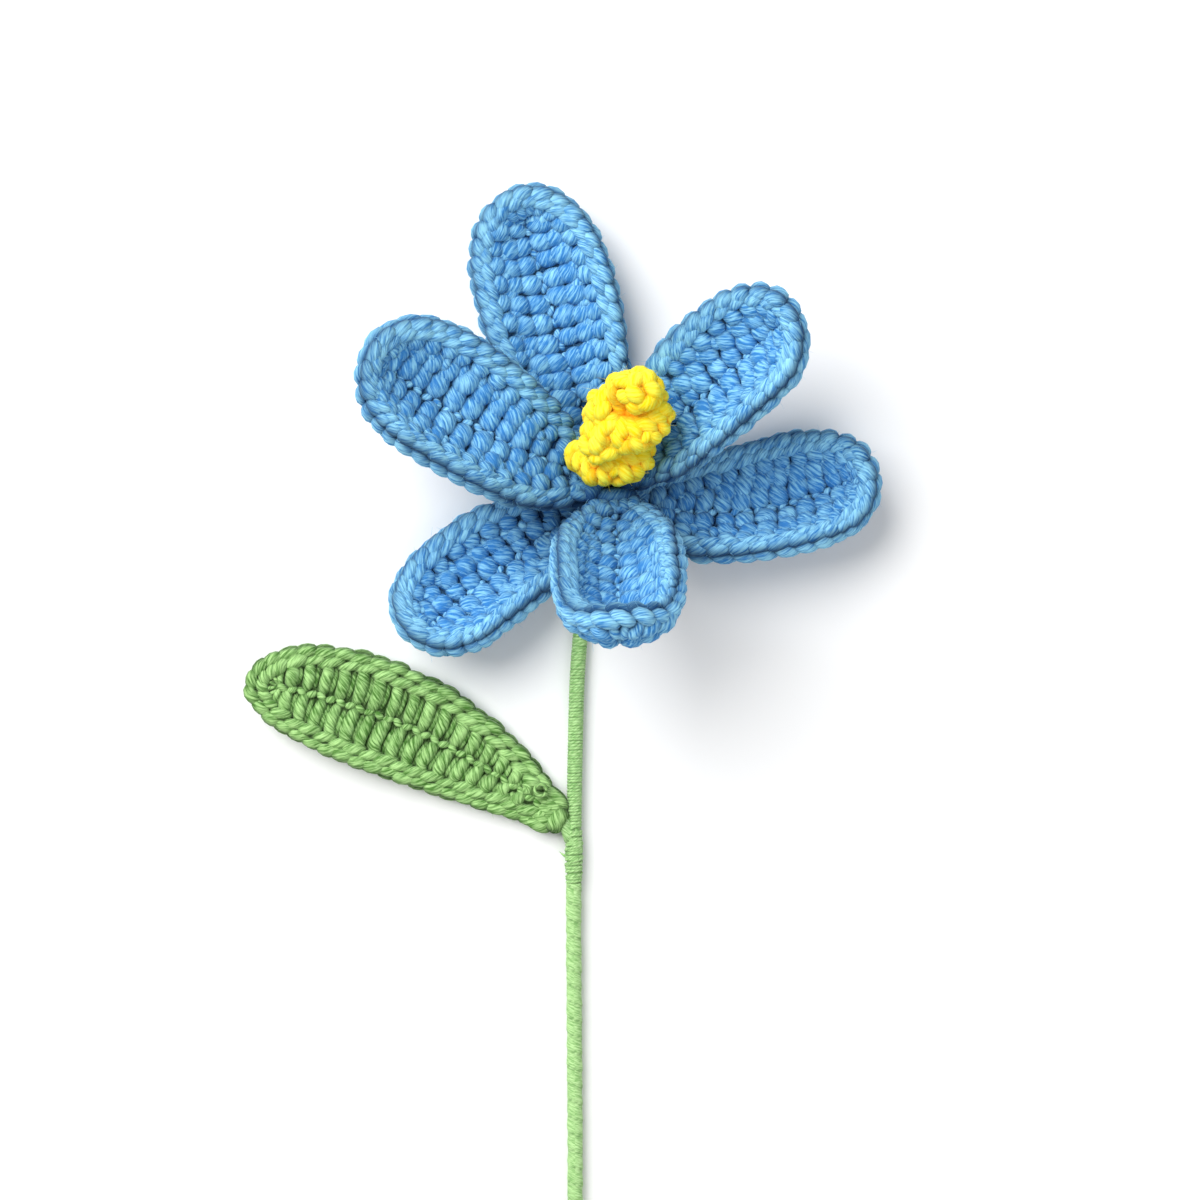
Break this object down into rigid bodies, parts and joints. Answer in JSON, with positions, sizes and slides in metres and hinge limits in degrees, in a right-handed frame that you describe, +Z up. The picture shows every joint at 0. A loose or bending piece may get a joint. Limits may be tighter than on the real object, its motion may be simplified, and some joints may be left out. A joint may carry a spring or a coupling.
{
  "type": "crocheted flower",
  "caption": "handmade crocheted flower with cupped blue petals, a curled yellow middle and one green leaf on a yarn-wound wire stem, lying on its back",
  "frame": {"origin": "middle of the footprint on the surface that the flower lies on", "axes": "+Z up, the open flower faces up; the stem runs from the flower towards -Y; +X is to the right as the flower is seen from above with its head away from the viewer"},
  "size_m": [0.1192, 0.3008, 0.0537],
  "materials": {
    "blue_yarn": "soft plied yarn, matte with a faint sheen",
    "yellow_yarn": "soft plied yarn, matte",
    "green_yarn": "soft plied yarn, matte",
    "stem_yarn": "fine wound thread, matte with a faint sheen",
    "wire": "plain drawn wire"
  },
  "bodies": {
    "root": {"petal_top": "blue_yarn", "petal_top_wire": "wire", "petal_right": "blue_yarn", "petal_right_wire": "wire", "petal_lower_left": "blue_yarn", "petal_lower_left_wire": "wire", "petal_upper_right": "blue_yarn", "petal_upper_right_wire": "wire", "petal_left": "blue_yarn", "petal_left_wire": "wire", "petal_front": "blue_yarn", "petal_front_wire": "wire", "leaf": "green_yarn", "leaf_wire": "wire", "centre_strip": "yellow_yarn", "stem_wire": "wire", "head_binding": "stem_yarn", "stem_wrap_upper": "stem_yarn", "leaf_binding": "stem_yarn", "stem_wrap_lower": "stem_yarn"}
  },
  "joints": []
}
